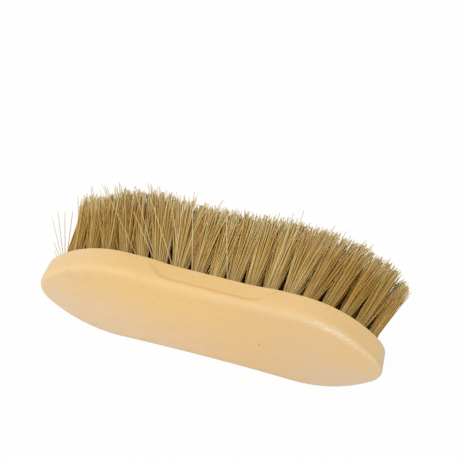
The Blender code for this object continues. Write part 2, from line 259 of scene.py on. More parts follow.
def block_shell():
    """The block's sides and back as rows of points, with masks for the painted shade of the
    groove's line and the painted highlight on the ridge.

    Down from the bristle face: a small round rim, the upright wall, a quarter round whose
    radius falls with the square of the way to the noses, and the back, which rises to a flat
    crown along the spine. The groove is the greater of the wall's and the cutter's inset,
    joined softly: half their sum plus half the root of their difference squared plus the
    softness squared. The side flares outwards with a high power of the way to the right-hand
    nose, times the way down. The ridge's mask is a painted highlight: a bell over the quarter
    round, faint but for a second bell along the block near its right-hand nose. The groove's
    line is painted shade in its crease, with lacquer pooled there; it fades slowly upwards,
    fast downwards.
    """
    outline, outwards = boat_outline()
    x = outline[:, 0]
    to_nose = (2 * x / LENGTH) ** 2
    middle = np.where(outline[:, 1] > 0, BACK_ROUNDING_UPPER, BACK_ROUNDING_LOWER)
    rounding = middle + (BACK_ROUNDING_NOSES - middle) * to_nose
    wall = THICKNESS - BACK_CROWN - rounding
    level = np.zeros(len(x))
    flare = NOSE_FLARE * (2 * x / LENGTH).clip(0.0, 1.0) ** NOSE_FLARE_POWER
    turned = np.linspace(0.0, math.pi / 2, FACE_RIM_ROWS)
    rim = [(FACE_ROUNDING * FACE_MARGIN + level, level)]
    rim += [
        (FACE_ROUNDING * (1 - np.sin(a)) + level, -FACE_ROUNDING * (1 - np.cos(a)) + level)
        for a in turned
    ]
    sides = [
        (level, -FACE_ROUNDING - (wall - FACE_ROUNDING) * share)
        for share in np.linspace(0.0, 1.0, WALL_ROWS)[1:-1]
    ]
    turned = np.linspace(0.0, math.pi / 2, ROUNDING_ROWS)
    sides += [(rounding * (1 - np.cos(a)), -wall - rounding * np.sin(a)) for a in turned]
    # The painted highlight along the ridge, strongest near the right-hand nose.
    highlight_share = RIDGE_FAINT + (1 - RIDGE_FAINT) * np.exp(-(((x - RIDGE_PLACE) / RIDGE_REACH) ** 2))
    bells = [np.exp(-(((a - RIDGE_TURN) / RIDGE_WIDTH) ** 2)) * highlight_share for a in turned]
    rows, lines = [], []
    for number, (inset, height) in enumerate(rim + sides):
        eased = inset if number < len(rim) else level
        plain = level if number < len(rim) else inset
        cut, share, end_line = groove_at(x, height)
        apart = np.sqrt((cut - plain) ** 2 + (GROOVE_SOFTNESS * share) ** 2)
        deep = np.where(share > 0, (cut + plain + apart) / 2, plain)
        flared = flare * (-height / THICKNESS).clip(0.0, 1.0)
        flat = outline - outwards * (deep + eased - flared)[:, None]
        rows.append(np.column_stack([flat[:, 0], FACE_Y + height, MIDDLE_Z + flat[:, 1]]))
        # The groove's line: painted shade in the crease, with its pooled lacquer.
        width = np.where(cut > plain, GROOVE_LINE_ABOVE, GROOVE_LINE_BELOW)
        crease = share * np.exp(-(((cut - plain) / width) ** 2))
        lines.append(np.maximum(crease, end_line * (cut > plain - GROOVE_DEPTH / 2)))
    ridges = [level] * (len(rows) - len(bells)) + bells + [level] * (BACK_ROWS - 1)
    rim_row = rows[-1]
    spine = rim_row * (BACK_SPINE_SHARE, 1.0, 0.0) + (0.0, -BACK_CROWN, MIDDLE_Z)
    for share in np.linspace(1.0, 0.0, BACK_ROWS)[1:]:
        row = spine + (rim_row - spine) * share
        row[:, 1] = rim_row[:, 1] - BACK_CROWN * (1 - share**2)
        rows.append(row)
        lines.append(level)
    return np.array(rows), {"groove_line_shade": np.array(lines), "ridge": np.array(ridges)}


def row_faces(rows, columns, first=0):
    """Quads between neighbouring rows that each close on themselves."""
    row, column = np.meshgrid(np.arange(rows - 1), np.arange(columns), indexing="ij")
    after = (column + 1) % columns
    corners = [
        row * columns + column,
        row * columns + after,
        (row + 1) * columns + after,
        (row + 1) * columns + column,
    ]
    return first + np.stack(corners, axis=-1).reshape(-1, 4)


def hole_walls():
    """Each hole as rings down its leaning axis, from a chamfered mouth to a closed bottom.

    A ring is the mouth's middle, less the lean times the depth, plus a level circle. The
    bottom ring is repeated with no radius. Returns an array of tuft, ring, corner and axis,
    and each corner's depth as a share of the hole's.
    """
    mouths = np.array([mouth for mouth, _ in tuft_axes.values()])
    leans = np.array([lean for _, lean in tuft_axes.values()])
    depths = np.array([0.0, HOLE_CHAMFER, HOLE_DEPTH / 3, HOLE_DEPTH, HOLE_DEPTH])
    radii = HOLE_RADIUS + np.array([HOLE_CHAMFER, 0.0, 0.0, 0.0, -HOLE_RADIUS])
    angles = np.arange(HOLE_STEPS) * math.tau / HOLE_STEPS
    circle = np.column_stack([np.cos(angles), np.zeros(HOLE_STEPS), np.sin(angles)])
    middles = mouths[:, None, :] - leans[:, None, :] * depths[None, :, None]
    rings = middles[:, :, None, :] + circle[None, None] * radii[None, :, None, None]
    dark = np.broadcast_to((depths / HOLE_DEPTH)[None, :, None], rings.shape[:3])
    return rings, dark


def bristle_face(rim, mouths):
    """The flat face between the block's rim and the mouths of the holes, as triangles."""
    loops = [rim[:, [0, 2]]] + [mouth[:, [0, 2]] for mouth in mouths]
    edges, start = [], 0
    for loop in loops:
        here = np.arange(len(loop))
        edges.append(start + np.column_stack([here, (here + 1) % len(loop)]))
        start += len(loop)
    flat = np.vstack(loops)
    inside_with_holes = 2
    found = delaunay_2d_cdt(
        flat.tolist(),
        np.vstack(edges).tolist(),
        [],
        inside_with_holes,
        WELD,
    )
    points = np.array(found[0])
    level = np.full(len(points), FACE_Y)
    return np.column_stack([points[:, 0], level, points[:, 1]]), found[2]


def make_mesh(name, points, faces, masks):
    """A mesh whose points carry the named masks."""
    mesh = bpy.data.meshes.new(name)
    mesh.from_pydata(points, [], faces)
    for mask, values in masks.items():
        layer = mesh.attributes.new(mask, "FLOAT", "POINT")
        layer.data.foreach_set("value", np.asarray(values, np.float32))
    return mesh


def make_piece(name, mesh, material, node):
    """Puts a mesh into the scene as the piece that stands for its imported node."""
    mesh.materials.append(material)
    piece = bpy.data.objects.new(name, mesh)
    bpy.context.scene.collection.objects.link(piece)
    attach(piece, "root")
    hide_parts(node)


def block_mesh():
    """The shell, the bristle face and the holes joined into one closed surface."""
    rows, shell_masks = block_shell()
    count, columns = rows.shape[:2]
    rings, dark = hole_walls()
    face_points, face_triangles = bristle_face(rows[0], rings[:, 0])
    points = [rows.reshape(-1, 3), rings.reshape(-1, 3), face_points]
    starts = np.cumsum([0] + [len(part) for part in points])
    faces = row_faces(count, columns).tolist()
    for tuft in range(len(rings)):
        faces += row_faces(
            rings.shape[1], HOLE_STEPS, starts[1] + tuft * rings[0, ..., 0].size
        ).tolist()
    faces += [[int(starts[2]) + corner for corner in triangle] for triangle in face_triangles]
    none = [np.zeros(len(part)) for part in points]
    masks = {
        name: np.concatenate([values.ravel(), none[1], none[2]])
        for name, values in shell_masks.items()
    }
    # The holes' depth mask, for the painted shade inside them.
    masks["in_hole"] = np.concatenate([none[0], dark.ravel(), none[2]])
    mesh = make_mesh("wooden_block_body", np.vstack(points), faces, masks)
    edited = bmesh.new()
    edited.from_mesh(mesh)
    bmesh.ops.remove_doubles(edited, verts=edited.verts, dist=WELD)
    bmesh.ops.dissolve_degenerate(edited, edges=edited.edges, dist=WELD)
    bmesh.ops.recalc_face_normals(edited, faces=edited.faces)
    edited.to_mesh(mesh)
    edited.free()
    mesh.shade_smooth()
    mesh.set_sharp_from_angle(angle=SHARP_ANGLE)
    return mesh


def new_group(name, inputs, outputs):
    """An empty shader node group with its named sockets. An input gives its type and value."""
    group = bpy.data.node_groups.new(name, "ShaderNodeTree")
    for label, (kind, value) in inputs.items():
        socket = group.interface.new_socket(label, in_out="INPUT", socket_type=kind)
        socket.default_value = value
    for label, kind in outputs.items():
        group.interface.new_socket(label, in_out="OUTPUT", socket_type=kind)
    tree = group.nodes
    return group, tree.new("NodeGroupInput"), tree.new("NodeGroupOutput")


def add_node(tree, kind, values=None, links=None, **settings):
    """A shader node with its settings, its sockets' values and what feeds them."""
    node = tree.nodes.new(kind)
    for label, value in settings.items():
        setattr(node, label, value)
    for socket, value in (values or {}).items():
        node.inputs[socket].default_value = value
    for socket, source in (links or {}).items():
        tree.links.new(source, node.inputs[socket])
    return node


FLOAT, VECTOR = "NodeSocketFloat", "NodeSocketVector"
STREAK_DETAIL = 4.0
STREAK_ROUGHNESS = 0.6


def streak_group():
    """Fibre-like streaks: noise on coordinates that are squeezed along the fibres."""
    group, given, made = new_group(
        "streaks",
        {"Coordinates": (VECTOR, (0, 0, 0)), "Squeeze": (VECTOR, (1, 1, 1)), "Scale": (FLOAT, 1.0)},
        {"Streaks": FLOAT},
    )
    squeezed = add_node(
        group,
        "ShaderNodeVectorMath",
        links={0: given.outputs["Coordinates"], 1: given.outputs["Squeeze"]},
        operation="MULTIPLY",
    )
    noise = add_node(
        group,
        "ShaderNodeTexNoise",
        values={"Detail": STREAK_DETAIL, "Roughness": STREAK_ROUGHNESS},
        links={"Vector": squeezed.outputs[0], "Scale": given.outputs["Scale"]},
    )
    group.links.new(noise.outputs["Fac"], made.inputs["Streaks"])
    return group


streaks = streak_group()


def place_streaks(tree, coordinates, squeeze, scale):
    """The streaks group in a material."""
    node = tree.nodes.new("ShaderNodeGroup")
    node.node_tree = streaks
    node.inputs["Squeeze"].default_value = squeeze
    node.inputs["Scale"].default_value = scale
    tree.links.new(coordinates, node.inputs["Coordinates"])
    return node.outputs["Streaks"]


MIX_FACTOR, MIX_A, MIX_B, MIXED = 0, 6, 7, 2


def layered(tree, ground, *coats):
    """A ground colour under coats of others, laid on one by one.

    The ground is a plain colour or a socket. A coat is its mask, its colour and, where it isn't
    a plain mix, its blend.
    """
    for mask, shade, *blend in coats:
        node = add_node(
            tree,
            "ShaderNodeMix",
            values={MIX_B: (*shade, 1.0)},
            links={MIX_FACTOR: mask},
            data_type="RGBA",
            blend_type=blend[0] if blend else "MIX",
        )
        if isinstance(ground, bpy.types.NodeSocket):
            tree.links.new(ground, node.inputs[MIX_A])
        else:
            node.inputs[MIX_A].default_value = (*ground, 1.0)
        ground = node.outputs[MIXED]
    return ground


def mapped(tree, source, low, high, to_low=0.0, to_high=1.0):
    """A value moved smoothly from one range to another."""
    node = add_node(
        tree,
        "ShaderNodeMapRange",
        values={"From Min": low, "From Max": high, "To Min": to_low, "To Max": to_high},
        links={"Value": source},
        interpolation_type="SMOOTHSTEP",
    )
    return node.outputs["Result"]


def times(tree, first, second):
    """The product of two masks."""
    node = add_node(tree, "ShaderNodeMath", links={0: first, 1: second}, operation="MULTIPLY")
    return node.outputs[0]


def painted(tree, *masks):
    """The masks that a mesh carries under these names."""
    nodes = [add_node(tree, "ShaderNodeAttribute", attribute_name=mask) for mask in masks]
    return [node.outputs["Fac"] for node in nodes]


def bumped(tree, height, strength, distance):
    """The normal of a surface that a mask raises by up to a distance."""
    values = {"Strength": strength, "Distance": distance}
    return add_node(tree, "ShaderNodeBump", values, {"Height": height}).outputs["Normal"]


def new_material(name):
    """A node material, with its tree and its shader."""
    material = bpy.data.materials.new(name)
    material.use_nodes = True
    return material, material.node_tree, material.node_tree.nodes["Principled BSDF"]


# The honey over the pale ground is painted light on the top side, and the paler, pinker ground
# below is painted shade with the floor's painted reflection.
WOOD_HONEY = (0.865, 0.562, 0.212)
WOOD_PALE = (0.790, 0.570, 0.335)
# The mottle's own colour, which also paints the paler light and the whitish sheen at the left end.
WOOD_CLOUD = (0.780, 0.610, 0.430)
WOOD_AMBER = (0.800, 0.470, 0.165)
WOOD_GRIP = (0.870, 0.560, 0.195)
# Painted shade at the right end, away from the light: deeper on the back, greyer low down.
WOOD_DEEP_SHADE = (0.780, 0.515, 0.228)
WOOD_DUSK_SHADE = (0.690, 0.540, 0.395)
WOOD_SHADE = (0.740, 0.475, 0.200)
# The groove's line: painted crease shade with pooled lacquer.
WOOD_LINE_SHADE_AND_LACQUER = (0.760, 0.400, 0.125)
# A painted highlight along the ridge.
WOOD_PAINTED_HIGHLIGHT = (0.960, 0.800, 0.550)
WOOD_SCUFF = (0.720, 0.455, 0.165)
# Painted shade inside the holes.
WOOD_HOLE_SHADE = (0.300, 0.190, 0.090)
WOOD_PORE = (0.330, 0.180, 0.060)
SPECK_PLACE = (0.0327, -0.0015)
SPECK_RADIUS = 0.0007
SCUFF_PLACE = (-0.0770, 0.0180)
SCUFF_RADIUS = 0.0150
SCUFF_SQUEEZE = 2.4
SPOT_CORE = 0.5

# Noises: how far each is squeezed along X, Y and Z, and its scale
CLOUDS = ((0.55, 1.0, 1.0), 38.0)
BLOTS = ((0.5, 1.0, 1.0), 120.0)
MOTTLE = ((0.6, 1.0, 1.0), 420.0)
GRAIN = ((0.10, 1.0, 1.0), 900.0)
CLOUD_SWAY = 0.030

# Ranges: where a mask begins, where it is full, and its values there if they aren't 0 and 1
# Painted light: the top's honey, where the side faces the light.
PAINTED_LIGHT_TOP = (MIDDLE_Z - 0.016, MIDDLE_Z + 0.036)
LOWER_PART = (MIDDLE_Z + 0.034, MIDDLE_Z - 0.006)
UPPER_SIDE = (MIDDLE_Z + 0.025, MIDDLE_Z + 0.030)
FLAT_BACK = (FACE_Y - THICKNESS * 0.62, FACE_Y - THICKNESS * 0.96)
GRIP_LEFT = (-LENGTH * 0.45, -LENGTH * 0.32)
GRIP_RIGHT = (LENGTH * 0.16, LENGTH * 0.04)
# Painted light and reflection: the left end paler, and a painted whitish sheen low on its left,
# broken by the mottle.
LEFT_PAINTED_LIGHT = (-LENGTH * 0.20, -LENGTH * 0.45, 0.0, 0.28)
LEFT_PAINTED_SHEEN = (-LENGTH * 0.08, -LENGTH * 0.45, 0.0, 0.90)
SHEEN_BREAKS = (0.48, 0.62, 0.0, 0.75)
# Painted shade at the right end: darker on the flat back, greyer low down.
RIGHT_PAINTED_SHADE = (-LENGTH * 0.12, LENGTH * 0.28, 0.0, 0.85)
RIGHT_LOW_PAINTED_SHADE = (LENGTH * 0.10, LENGTH * 0.42, 0.0, 0.68)
BLOT_RANGE = (0.50, 0.80, 0.0, 0.35)
MOTTLE_RANGE = (0.46, 0.72, 0.0, 0.26)
GRAIN_RANGE = (0.50, 0.76, 0.0, 0.50)
LINE_SHADE_RANGE = (0.05, 0.9, 0.0, 0.70)
# The painted highlight on the ridge, broken into streaks.
RIDGE_HIGHLIGHT_BREAKS = (0.40, 0.60, 0.22, 0.85)
SCUFF_RANGE = (0.44, 0.64, 0.0, 0.60)
# Painted shade inside the holes, full a little way down.
HOLE_SHADE_RANGE = (0.0, 0.12)
WOOD_ROUGHNESS = (0.3, 0.7, 0.36, 0.50)
WOOD_BUMP = (0.35, 0.0004)
WOOD_SPECULAR = 0.4
LACQUER_GLOSS = (LENGTH * 0.05, LENGTH * 0.32, 0.22, 0.65)
LACQUER_ROUGHNESS = 0.28


def near_place(tree, place, spot, radius, squeeze=1.0):
    """A mask round a spot of the block's back, given along and across it, full in its core."""
    apart = add_node(
        tree,
        "ShaderNodeVectorMath",
        values={1: (spot[0], 0.0, MIDDLE_Z + spot[1])},
        links={0: place},
        operation="SUBTRACT",
    )
    flat = add_node(
        tree,
        "ShaderNodeVectorMath",
        values={1: (1.0, 0.0, squeeze)},
        links={0: apart.outputs[0]},
        operation="MULTIPLY",
    )
    away = add_node(
        tree, "ShaderNodeVectorMath", links={0: flat.outputs[0]}, operation="LENGTH"
    )
    return mapped(tree, away.outputs["Value"], radius, radius * SPOT_CORE)


def lacquered_wood():
    """Honey-coloured at the top and paler and pinker below: painted light and shade.

    The top's honey is painted light where the side faces the light. The paler, pinker lower part
    is painted shade with the floor's painted reflection. Clouds, blots, mottle and short grain
    flecks vary it. The left end is painted paler, with a painted whitish sheen low down, and it
    is scuffed. The right end is darker and duller with painted shade, greyest low down. The
    groove's line is darker: painted shade in its crease, with lacquer pooled there. A painted
    highlight runs along the ridge, broken into streaks, most so near the right-hand nose. A pore
    is a dark speck, and painted shade darkens the holes. Handling has dulled the lacquer, but
    not at the right-hand nose.
    """
    material, tree, shader = new_material("lacquered_wood")
    place = add_node(tree, "ShaderNodeTexCoord").outputs["Object"]
    x, y, z = add_node(tree, "ShaderNodeSeparateXYZ", links={0: place}).outputs
    clouds, blots, mottle, grain = (
        place_streaks(tree, place, *noise) for noise in (CLOUDS, BLOTS, MOTTLE, GRAIN)
    )
    line, ridge, in_hole = painted(tree, "groove_line_shade", "ridge", "in_hole")
    height = add_node(
        tree,
        "ShaderNodeMath",
        values={1: CLOUD_SWAY},
        links={0: clouds, 2: z},
        operation="MULTIPLY_ADD",
    ).outputs[0]
    below = mapped(tree, height, *LOWER_PART)
    grip = times(tree, mapped(tree, x, *GRIP_LEFT), mapped(tree, x, *GRIP_RIGHT))
    painted_sheen = times(tree, mapped(tree, x, *LEFT_PAINTED_SHEEN), below)
    scuffed = near_place(tree, place, SCUFF_PLACE, SCUFF_RADIUS, SCUFF_SQUEEZE)
    colour = layered(
        tree,
        WOOD_PALE,
        # Painted light on the top, over the painted shade below.
        (mapped(tree, height, *PAINTED_LIGHT_TOP), WOOD_HONEY),
        (times(tree, mapped(tree, z, *UPPER_SIDE), grip), WOOD_GRIP),
        # Painted light: the left end paler, then a painted sheen low down.
        (mapped(tree, x, *LEFT_PAINTED_LIGHT), WOOD_CLOUD),
        (painted_sheen, WOOD_CLOUD),
        # Painted shade at the right end.
        (times(tree, mapped(tree, x, *RIGHT_PAINTED_SHADE), mapped(tree, y, *FLAT_BACK)), WOOD_DEEP_SHADE),
        (times(tree, mapped(tree, x, *RIGHT_LOW_PAINTED_SHADE), below), WOOD_DUSK_SHADE),
        (mapped(tree, blots, *BLOT_RANGE), WOOD_AMBER),
        # The painted sheen broken up by the mottle.
        (times(tree, painted_sheen, mapped(tree, mottle, *SHEEN_BREAKS)), WOOD_HONEY),
        (mapped(tree, mottle, *MOTTLE_RANGE), WOOD_CLOUD),
        (mapped(tree, grain, *GRAIN_RANGE), WOOD_SHADE),
        # Painted crease shade with pooled lacquer along the groove's line.
        (mapped(tree, line, *LINE_SHADE_RANGE), WOOD_LINE_SHADE_AND_LACQUER),
        # Painted highlight along the ridge.
        (times(tree, ridge, mapped(tree, grain, *RIDGE_HIGHLIGHT_BREAKS)), WOOD_PAINTED_HIGHLIGHT),
        (mapped(tree, times(tree, scuffed, grain), *SCUFF_RANGE), WOOD_SCUFF),
        (near_place(tree, place, SPECK_PLACE, SPECK_RADIUS), WOOD_PORE),
        # Painted shade inside the holes.
        (mapped(tree, in_hole, *HOLE_SHADE_RANGE), WOOD_HOLE_SHADE),
    )
    tree.links.new(colour, shader.inputs["Base Color"])
    tree.links.new(mapped(tree, clouds, *WOOD_ROUGHNESS), shader.inputs["Roughness"])
    tree.links.new(mapped(tree, x, *LACQUER_GLOSS), shader.inputs["Coat Weight"])
    tree.links.new(bumped(tree, grain, *WOOD_BUMP), shader.inputs["Normal"])
    shader.inputs["Coat Roughness"].default_value = LACQUER_ROUGHNESS
    shader.inputs["Specular IOR Level"].default_value = WOOD_SPECULAR
    return material


make_piece(
    "block_of_lacquered_beech", block_mesh(), lacquered_wood(), "wooden_block"
)


# The bristles
# One to four hundred stiff plant fibres a tuft, khaki to straw, folded into their hole and
# packed tight at its mouth. They spread on their way out, and the field is cut to a low crown.
# Wear has pushed the tufts along the block, opened their fans and broken a few fibres short.

FIBRES_OUTER = 185
FIBRES_INNER = 240
FIBRE_SIDES = 4
FIBRE_RADIUS = 0.00027
FIBRE_RADIUS_SPREAD = 0.00005
FIBRE_RADIUS_LIMITS = (0.00018, 0.00042)
FIBRE_TAPER = 0.18
ROOT_DEPTH = 0.004
TIP_SPREAD_OUTER = (0.0084, 0.0058)
TIP_SPREAD_INNER = (0.0122, 0.0100)
TUFT_PITCH = 0.0107
SPREAD_EASE = 0.66
PACKED_RADIUS = 0.0027
LOCKS = 9
LOCK_PULL = 0.34
LOCK_SCATTER = 0.0006
LOCK_TONE_SHARE = 0.25
TIP_SCATTER = 0.0014
SCATTER_LIMIT = 2.0
LOOSE_SHARE = 0.09
LOOSE_SCATTER = 0.0042
TRIM_LENGTH = 0.0515
TRIM_DROP = 0.0075
TRIM_CROWN_POWER = 6.0
TRIM_SCATTER = 0.0009
BROKEN_SHARE = 0.10
BROKEN_OFF = (0.002, 0.012)
PROUD_SHARE = 0.05
PROUD_BY = (0.001, 0.004)
BOW = 0.0005
FIRST_SEED = 4100
STATIONS = np.array([0.0, 0.12, 0.34, 0.58, 0.80, 1.0])
GOLDEN_ANGLE = math.pi * (3 - math.sqrt(5))
TURN_FOR_TONE = 37.0
TIPS_HALF_LENGTH = 0.1006
TIPS_LAST_SHARE = 1.05

# Places along the block, with the push along it, the rise above the trim and the share of the
# fan that use has left there
WORN_SET = (
    (-0.0912, 0.0032, -0.0050, 0.72),
    (-0.0839, -0.0020, -0.0022, 0.88),
    (-0.0743, -0.0048, -0.0085, 1.00),
    (-0.0640, -0.0078, -0.0086, 1.18),
    (-0.0534, -0.0112, -0.0042, 1.20),
    (-0.0427, -0.0138, -0.0036, 1.20),
    (-0.0320, -0.0132, -0.0008, 1.20),
    (-0.0213, -0.0060, -0.0012, 1.20),
    (-0.0107, -0.0035, -0.0015, 1.16),
    (0.0000, -0.0028, 0.0002, 1.12),
    (0.0213, -0.0035, 0.0004, 1.12),
    (0.0320, -0.0032, 0.0024, 1.18),
    (0.0427, 0.0000, 0.0020, 1.12),
    (0.0534, 0.0045, -0.0004, 1.00),
    (0.0640, 0.0043, 0.0000, 0.80),
    (0.0743, 0.0052, -0.0026, 0.80),
    (0.0839, 0.0040, 0.0004, 0.76),
    (0.0912, 0.0030, 0.0016, 0.68),
)
BENT_BACK = {"outer_tuft_01": 0.0080, "outer_tuft_02": 0.0040}
INNER_OUTSIDE = 0.5
FLOOR_CLEARANCE = 0.0005


def row_directions(node):
    """The level directions along and across a tuft's row.

    Along goes from the tuft before it to the one after it, and across is square to that. The
    inner rows lie along the block.
    """
    along = np.array([1.0, 0.0, 0.0])
    if node.startswith("outer"):
        ring = [name for name in tuft_nodes if name.startswith("outer")]
        place = ring.index(node)
        step = tuft_axes[ring[(place + 1) % len(ring)]][0] - tuft_axes[ring[place - 1]][0]
        along = step / np.linalg.norm(step)
    return along, np.array([-along[2], 0.0, along[0]])


def worn_set(x):
    """What use has done to a tuft that stands at this place along the block.

    Its tips are pushed along the block, they stand higher or lower than the trim, and its fan
    has opened to a share of the full spread.
    """
    places, pushes, rises, fans = np.array(WORN_SET).T
    return np.interp(x, places, pushes), np.interp(x, places, rises), np.interp(x, places, fans)


def trim_height(x):
    """How far the field is trimmed above the face: the length in the middle less a drop.

    The drop grows with the sixth power of the way towards the noses.
    """
    towards_nose = abs(x / TIPS_HALF_LENGTH).clip(0.0, TIPS_LAST_SHARE)
    return TRIM_LENGTH - TRIM_DROP * towards_nose**TRIM_CROWN_POWER


def fibre_paths(roots, tips, spreads, bows):
    """Points along every fibre, as an array of fibre, station and axis.

    A fibre goes straight from its root to its tip, but that its share of the tuft's spread is
    reached early: one less the rest of the way to the power of the spread's ease. It bows out
    by half a sine wave on the way. Where it would dip under the floor, it lies on it.
    """
    share = STATIONS[None, :, None]
    early = 1 - (1 - share) ** SPREAD_EASE - share
    arch = np.sin(math.pi * share)
    paths = roots[:, None] + (tips - roots)[:, None] * share
    paths += spreads[:, None] * early + bows[:, None] * arch
    paths[..., 2] = paths[..., 2].clip(FLOOR_CLEARANCE)
    return paths


def fibre_mesh(name, paths, radii, tones, depths):
    """Thin closed rods round the paths, each tapering a little and cut square at its tip.

    A rod's ring at a station is a level circle of few corners, turned by the fibre's tone.
    """
    count, stations = paths.shape[:2]
    angles = np.arange(FIBRE_SIDES) * math.tau / FIBRE_SIDES
    turned = angles[None] + (tones * TURN_FOR_TONE)[:, None]
    circle = np.stack([np.cos(turned), np.zeros_like(turned), np.sin(turned)], axis=-1)
    sizes = radii[:, None] * (1.0 - FIBRE_TAPER * STATIONS)[None]
    points = paths[:, :, None] + circle[:, None] * sizes[:, :, None, None]
    ring_faces = row_faces(stations, FIBRE_SIDES)
    cap = np.arange(FIBRE_SIDES)
    caps = np.array([cap, cap[::-1] + (stations - 1) * FIBRE_SIDES])
    one = np.vstack([ring_faces, caps])
    first = (np.arange(count) * stations * FIBRE_SIDES)[:, None, None]
    faces = (one[None] + first).reshape(-1, 4)
    along = np.broadcast_to(STATIONS[None, :, None], points.shape[:3])
    masks = {"along": along.ravel()}
    for mask, values in (("tone", tones), ("depth", depths)):
        masks[mask] = np.broadcast_to(values[:, None, None], points.shape[:3]).ravel()
    mesh = make_mesh(name, points.reshape(-1, 3), faces, masks)
    smooth = np.tile(np.arange(len(one)) < len(ring_faces), count)
    mesh.polygons.foreach_set("use_smooth", smooth)
    return mesh


def tuft_fibres(number, node, count, tip_spread, outside):
    """The roots, tips, spreads, bows, radii, tones and depths of one tuft's fibres.

    Roots fill the hole's circle in a sunflower spiral: the radius grows with the root of the
    number, the angle by the golden angle. Tips are the same pattern spread wider along and
    across the row, and wider still along it where wear has drawn the tufts apart. A tuft that
    spreads wider has more fibres. The tips are drawn into locks, scattered, carried along by
    the tuft's lean and by wear, and cut to the trim height. The depth is 1 on the tuft's axis
    and falls towards its rim, to 0 where the tuft stands outside.
    """
    mouth, lean = tuft_axes[node]
    along, across = row_directions(node)
    push, rise, fan = worn_set(mouth[0])
    drawn_apart = worn_set(mouth[0] + TUFT_PITCH / 2)[0] - worn_set(mouth[0] - TUFT_PITCH / 2)[0]
    stretch = 1 + max(0.0, drawn_apart / TUFT_PITCH) * abs(along[0])
    count = round(count * fan * stretch)
    draw = np.random.default_rng(FIRST_SEED + number)
    order = np.arange(count)
    reach = np.sqrt((order + 0.5) / count)
    angle = order * GOLDEN_ANGLE + draw.uniform(0, math.tau)
    pattern = np.column_stack([reach * np.cos(angle), reach * np.sin(angle)])
    packed = PACKED_RADIUS * pattern @ (along, across)
    roots = mouth - lean * ROOT_DEPTH + packed
    heads = pattern[draw.choice(count, LOCKS, replace=False)]
    lock = np.linalg.norm(pattern[:, None] - heads[None], axis=2).argmin(axis=1)
    gathered = pattern + (heads[lock] - pattern) * LOCK_PULL
    swayed = draw.normal(size=(LOCKS, 2))[lock] * LOCK_SCATTER
    loose = draw.random(count) < LOOSE_SHARE
    scatter = draw.normal(size=(count, 2)).clip(-SCATTER_LIMIT, SCATTER_LIMIT) * fan**2
    scatter *= np.where(loose, LOOSE_SCATTER, TIP_SCATTER)[:, None]
    spread = gathered * tip_spread * (fan * stretch, fan)
    offset = (spread + swayed + scatter) @ (along, across)
    x = mouth[0] + lean[0] * TRIM_LENGTH + offset[:, 0]
    height = trim_height(x) + rise + draw.normal(size=count) * TRIM_SCATTER
    height -= (draw.random(count) < BROKEN_SHARE) * draw.uniform(*BROKEN_OFF, count)
    height += (draw.random(count) < PROUD_SHARE) * draw.uniform(*PROUD_BY, count)
    tips = mouth + lean * height[:, None] + offset
    tips[:, 0] += push - BENT_BACK.get(node, 0.0)
    spreads = offset - packed
    bows = draw.normal(size=(count, 3)) * BOW
    bows[:, 1] = 0.0
    radii = draw.normal(FIBRE_RADIUS, FIBRE_RADIUS_SPREAD, count).clip(*FIBRE_RADIUS_LIMITS)
    tones = draw.random(count) * (1 - LOCK_TONE_SHARE)
    tones += draw.random(LOCKS)[lock] * LOCK_TONE_SHARE
    return roots, tips, spreads, bows, radii, tones, 1 - reach * outside


STRAY_RADIUS = 0.00029
STRAY_TONE = 1.0
STRAY_ROOT_REACH = HOLE_RADIUS * 0.9
LEAST_STEP = 1e-6

# Strays: the root's place along and across the block's face from its middle, the pixel at which
# the photograph shows the tip, and the tip's place across the block
STRAY_FIBRES = (
    ((-0.0930, 0.0060), (51.8, 216.7), 0.0060),
    ((-0.0925, 0.0070), (57.6, 211.0), 0.0060),
    ((-0.0920, 0.0060), (64.7, 212.5), 0.0060),
    ((-0.0915, 0.0065), (72.5, 211.6), 0.0060),
    ((-0.0940, 0.0000), (53.9, 242.2), -0.0020),
    ((-0.0945, -0.0010), (54.4, 250.8), -0.0020),
    ((-0.0440, 0.0235), (109.2, 196.8), 0.0370),
    ((-0.0330, 0.0235), (133.5, 212.0), 0.0360),
    ((-0.0330, 0.0235), (136.5, 195.8), 0.0350),
    ((-0.0230, 0.0235), (151.0, 200.3), 0.0350),
    ((-0.0130, 0.0235), (192.7, 206.7), 0.0340),
    ((0.0080, 0.0235), (226.7, 216.0), 0.0340),
    ((-0.0645, 0.0235), (120.5, 189.0), 0.0330),
    ((-0.0255, 0.0235), (183.0, 204.0), 0.0330),
    ((-0.0190, 0.0235), (171.0, 199.0), 0.0330),
    ((-0.0520, 0.0235), (124.0, 190.0), 0.0320),
)


def stray_fibres(node):
    """The strays that spring from this tuft, as the fibres of a tuft are given."""
    places, pixels, across = zip(*STRAY_FIBRES)
    roots = np.array([(x, 0.0, z) for x, z in places]) + (0.0, FACE_Y, MIDDLE_Z)
    tips = seen_places(pixels, across)
    middles = np.array([tuft_axes[name][0] for name in tuft_nodes])
    nearest = np.linalg.norm(roots[:, None] - middles[None], axis=2).argmin(axis=1)
    mine = nearest == tuft_nodes.index(node)
    mouth = tuft_axes[node][0]
    apart = roots[mine] - mouth
    size = np.linalg.norm(apart, axis=1, keepdims=True).clip(LEAST_STEP)
    roots = mouth + apart * (STRAY_ROOT_REACH / size).clip(0.0, 1.0)
    count = int(mine.sum())
    straight = np.zeros((count, 3))
    thin, pale = np.full(count, STRAY_RADIUS), np.full(count, STRAY_TONE)
    return roots, tips[mine], straight, straight, thin, pale, np.zeros(count)


FIBRE_DARK = (0.260, 0.120, 0.022)
FIBRE_BROWN = (0.560, 0.300, 0.060)
FIBRE_KHAKI = (0.720, 0.505, 0.165)
FIBRE_STRAW = (0.800, 0.620, 0.250)
FIBRE_PALE = (0.900, 0.760, 0.420)
